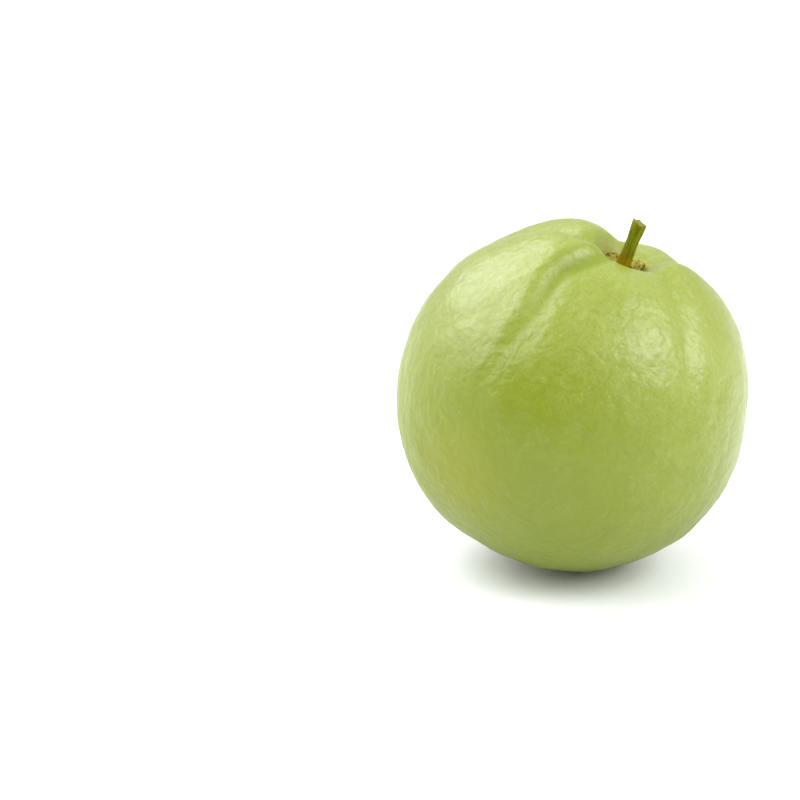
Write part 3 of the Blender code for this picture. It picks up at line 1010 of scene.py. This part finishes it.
@dataclass
class Collar:
    """The corky ring that lines the floor of the hollow round the stalk, with a few torn flakes."""

    form: FruitForm
    inner_radius: float = 0.0026
    outer_radius: float = 0.0053
    waver: float = 0.00035
    waves: int = 3
    wave_start: float = 1
    thickness: float = 0.0009
    crumb: float = 0.00025
    crumb_scale: float = 900
    flake_width: float = 24
    flakes: tuple[Flake, ...] = (
        Flake(345, 0.0014), Flake(50, 0.0006), Flake(110, 0.0010), Flake(190, 0.0005), Flake(265, 0.0004)
    )
    steps: int = 144
    section_sides: int = 36

    def raised(self, azimuth: float) -> float:
        """Returns how far the flakes raise the outer edge at an azimuth in degrees, in metres."""
        return sum(
            flake.height * bell(degrees_between(azimuth, flake.azimuth), self.flake_width / 2)
            for flake in self.flakes
        )

    def shape(self) -> bmesh.types.BMesh:
        """Builds the collar in the fruit's own frame.

        Returns:
            A closed ring whose points carry how far out they lie, from 0 to 1.
        """
        shape = bmesh.new()
        turns = [math.tau * side / self.section_sides for side in range(self.section_sides)]
        section = [shape.verts.new((1 + math.cos(turn) / 2, 0, math.sin(turn) / 2)) for turn in turns]
        loop = [shape.edges.new((section[side - 1], section[side])) for side in range(self.section_sides)]
        bmesh.ops.spin(
            shape,
            geom=section + loop,
            cent=(0, 0, 0),
            axis=(0, 0, 1),
            angle=math.tau,
            steps=self.steps,
            use_merge=True,
        )
        bmesh.ops.recalc_face_normals(shape, faces=shape.faces[:])
        layer = shape.verts.layers.float.new("out")
        for vertex in shape.verts:
            azimuth = math.atan2(vertex.co.y, vertex.co.x)
            out = math.hypot(vertex.co.x, vertex.co.y) - 0.5
            top = vertex.co.z + 0.5
            outer = self.outer_radius + self.waver * math.sin(self.waves * azimuth + self.wave_start)
            from_stalk = self.inner_radius + out * (outer - self.inner_radius)
            place = self.form.stalk_hollow.place + from_stalk * outwards(azimuth)
            crumb = self.crumb * noise.noise(Vector((*place, 0)) * self.crumb_scale) * top
            lift = top * (self.thickness + out * self.raised(math.degrees(azimuth))) + crumb
            vertex.co = (*place, self.form.skin_height(place, End.STALK) + CLEARANCE + lift)
            vertex[layer] = out
        return shape

    def build(self, lie: Lie) -> bpy.types.Object:
        """Builds and dresses the collar.

        Args:
            lie: how the fruit lies.

        Returns:
            The piece.
        """
        piece = new_piece("guava_stalk_collar", self.shape(), lie, CorkFinish().material(lie))
        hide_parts("stalk_collar")
        return piece


@dataclass(frozen=True)
class HuskFinish:
    """Dried brown calyx, veined from its middle out and paler at the edges of its sepals."""

    brown: Colour = (0.15, 0.085, 0.03)
    pale: Colour = (0.32, 0.22, 0.10)
    dark: Colour = (0.05, 0.028, 0.012)
    vein_size: float = 1 / 14
    vein_share: float = 0.6
    crumb_size: float = 0.0008
    crumb_share: float = 0.5
    pale_span: Span = (0.45, 0.75)
    boss_span: Span = (0.35, 0.1)
    crumb_relief: float = 0.6
    relief_depth: float = 0.0002
    roughness: float = 0.7
    crumb_roughness: float = 0.2

    def material(self, lie: Lie) -> bpy.types.Material:
        """Builds the finish.

        Args:
            lie: how the fruit lies.

        Returns:
            The material.
        """
        graph = Graph.of_material("guava_husk")
        own = graph.own_place(lie)
        veins = graph.grain(graph.ring(own), self.vein_size, 3)
        crumbs = graph.grain(own, self.crumb_size, 4)
        pale = self.vein_share * veins + self.crumb_share * crumbs
        colour = graph.blend(pale.rise(*self.pale_span), self.brown, self.pale)
        return graph.finish(
            Base_Color=graph.blend(graph.attribute("out").rise(*self.boss_span), colour, self.dark),
            Roughness=self.roughness + self.crumb_roughness * crumbs,
            Normal=graph.bump(veins + self.crumb_relief * crumbs, self.relief_depth),
        )


@dataclass
class Calyx:
    """The dried calyx: a disc with a boss and a rim, and five curled sepals."""

    form: FruitForm
    disc_radius: float = 0.0044
    rim_height: float = 0.0011
    rim_width: float = 0.0011
    boss_height: float = 0.0009
    boss_width: float = 0.0011
    thickness: float = 0.0007
    sepal_lengths: tuple[float, ...] = (0.0046, 0.0037, 0.0049, 0.0032, 0.0043)
    sepal_point: float = 0.85
    sepal_curl: float = 0.0012
    curl_spread: float = 0.33
    curls: int = 3
    crinkle: float = 0.00012
    crinkle_scale: float = 1200
    segments: int = 200
    rings: int = 36

    def reach(self, azimuth: float) -> float:
        """Returns how far out it goes: a pointed sepal in each fifth of its turn, with notches between."""
        turn = azimuth / math.tau * len(self.sepal_lengths)
        sepal = round(turn)
        length = self.sepal_lengths[sepal % len(self.sepal_lengths)]
        return self.disc_radius + length * (1 - 2 * abs(turn - sepal)) ** self.sepal_point

    def relief(self, from_axis: float, azimuth: float) -> float:
        """Returns how far it stands off the skin: its boss, its disc's rim and the sepals' curl."""
        boss = self.boss_height * bell(from_axis, self.boss_width)
        rim = self.rim_height * bell(from_axis - self.disc_radius, self.rim_width)
        past_disc = max(0.0, from_axis - self.disc_radius) / max(self.sepal_lengths)
        curl = self.sepal_curl * past_disc**2
        return boss + rim + curl * (1 + self.curl_spread * math.sin(self.curls * azimuth))

    def shape(self) -> bmesh.types.BMesh:
        """Builds the calyx in the fruit's own frame.

        Returns:
            A closed sheet over the skin of its hollow, whose points carry how far out they lie.
        """
        shape = bmesh.new()
        bmesh.ops.create_uvsphere(shape, u_segments=self.segments, v_segments=2 * self.rings, radius=1)
        upper = [vertex for vertex in shape.verts if vertex.co.z > SNAP]
        bmesh.ops.delete(shape, geom=upper, context="VERTS")
        layer = shape.verts.layers.float.new("out")
        for vertex in shape.verts:
            polar, azimuth = polar_angles(vertex.co)
            share = (math.pi - polar) / (math.pi / 2)
            from_axis = share * self.reach(azimuth)
            place = from_axis * outwards(azimuth)
            crinkle = self.crinkle * noise.noise(Vector((*place, 0)) * self.crinkle_scale) * share
            off_skin = CLEARANCE + self.relief(from_axis, azimuth) + crinkle
            vertex.co = (*place, self.form.skin_height(place, End.CALYX) - off_skin)
            vertex[layer] = share
        return shape

    def build(self, lie: Lie) -> bpy.types.Object:
        """Builds and dresses the calyx.

        Args:
            lie: how the fruit lies.

        Returns:
            The piece.
        """
        piece = new_piece("guava_calyx", self.shape(), lie, HuskFinish().material(lie))
        wall = piece.modifiers.new("thickness", "SOLIDIFY")
        wall.thickness = self.thickness
        wall.offset = 1
        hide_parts("calyx")
        return piece


@dataclass(frozen=True)
class Softbox:
    """A soft studio lamp that faces the fruit; its direction is from the fruit's middle."""

    name: str
    direction: Vector
    distance: float
    width: float
    height: float
    radiance: float

    def light(self, middle: Vector) -> None:
        """Puts up the lamp, facing a middle."""
        lamp = bpy.data.lights.new(self.name, "AREA")
        lamp.shape = "RECTANGLE"
        lamp.size, lamp.size_y = self.width, self.height
        lamp.energy = self.radiance * math.pi * self.width * self.height
        holder = bpy.data.objects.new(self.name, lamp)
        towards = self.direction.normalized()
        holder.location = middle + self.distance * towards
        holder.rotation_euler = towards.to_track_quat("Z", "Y").to_euler()
        bpy.context.scene.collection.objects.link(holder)


@dataclass(frozen=True)
class Glow:
    """A brighter part of the sky round a direction; its span is of the cosine of the angle from there."""

    direction: Direction
    span: Span
    strength: float


@dataclass
class Studio:
    """The plain floor, the soft light and the camera."""

    middle: Vector
    lens: float = 100
    sensor: float = 36
    image_size: int = 800
    fruit_pixels: float = 177
    fruit_radius: float = 0.048
    look_down: float = math.radians(17)
    middle_right: float = 172
    middle_up: float = 3
    softboxes: tuple[Softbox, ...] = (
        Softbox("key", Vector((-0.653, 0.22, 0.74)), 0.6, 0.90, 0.52, 2.9),
        Softbox("second", Vector((0.70, -0.36, 0.616)), 0.6, 0.46, 0.34, 5.8),
    )
    dimmest_sky: float = 0.3
    glows: tuple[Glow, ...] = (
        Glow((0, 0, 1), (0.3, 0.95), 1.1),
        Glow((0, 1, 0), (0, 0.9), 0.5),
        Glow((0.87, -0.5, 0), (0.3, 0.95), 1.25),
        Glow((-0.87, 0.17, 0.46), (0.55, 1.0), 1.7),
    )
    floor_size: float = 6
    floor_colour: tuple[float, ...] = (0.80, 0.82, 0.83, 1)
    floor_roughness: float = 0.4

    def floor(self) -> None:
        """Lays a wide pale floor under the fruit."""
        shape = bmesh.new()
        bmesh.ops.create_grid(shape, x_segments=8, y_segments=8, size=self.floor_size)
        mesh = bpy.data.meshes.new("floor")
        shape.to_mesh(mesh)
        shape.free()
        graph = Graph.of_material("pale_floor")
        mesh.materials.append(graph.finish(Base_Color=self.floor_colour, Roughness=self.floor_roughness))
        floor = bpy.data.objects.new("floor", mesh)
        bpy.context.scene.collection.objects.link(floor)

    def sky(self) -> None:
        """Lights the studio from all round, most from above, behind, the right and the upper left."""
        bpy.context.scene.world = bpy.data.worlds.new("studio")
        graph = Graph(bpy.context.scene.world)
        place = graph.add("ShaderNodeTexCoord", {}, {}, "Generated")
        strength: Signal | float = self.dimmest_sky
        for glow in self.glows:
            towards = graph.vector_maths("DOT_PRODUCT", place, glow.direction, "Value")
            strength = strength + glow.strength * towards.rise(*glow.span)
        seen = graph.add("ShaderNodeLightPath", {}, {}, "Is Camera Ray")
        lit = graph.add("ShaderNodeMix", {"data_type": "FLOAT"}, {0: seen, 2: strength, 3: 1.0}, 0)
        white = {"Color": (1, 1, 1, 1), "Strength": lit}
        graph.end("ShaderNodeOutputWorld", graph.add("ShaderNodeBackground", {}, white))

    def camera(self) -> None:
        """Sets up the camera that sees the fruit as the photograph does."""
        scale = self.fruit_pixels / self.fruit_radius
        right = Vector((1, 0, 0))
        forward = Vector((0, math.cos(self.look_down), -math.sin(self.look_down)))
        up = right.cross(forward)
        distance = self.lens / self.sensor * self.image_size / scale
        camera = bpy.data.cameras.new("camera")
        camera.lens = self.lens
        camera.sensor_width = self.sensor
        holder = bpy.data.objects.new("camera", camera)
        offset = self.middle_right * right + self.middle_up * up
        holder.location = self.middle - offset / scale - distance * forward
        holder.rotation_euler = (math.pi / 2 - self.look_down, 0, 0)
        bpy.context.scene.collection.objects.link(holder)
        bpy.context.scene.camera = holder

    def build(self) -> None:
        """Sets up the whole studio."""
        self.floor()
        self.sky()
        self.camera()
        for softbox in self.softboxes:
            softbox.light(self.middle)
        bpy.context.scene.view_settings.view_transform = "Standard"


def main() -> None:
    """Builds the guava's pieces in order, and the studio round them."""
    form = FruitForm()
    lie = Skin(form, Euler((LEAN_FRONT, LEAN_RIGHT, 0))).build()
    for part in (Stalk(form), Collar(form), Calyx(form)):
        part.build(lie)
    Studio(lie.middle).build()


if __name__ == "__main__":
    main()
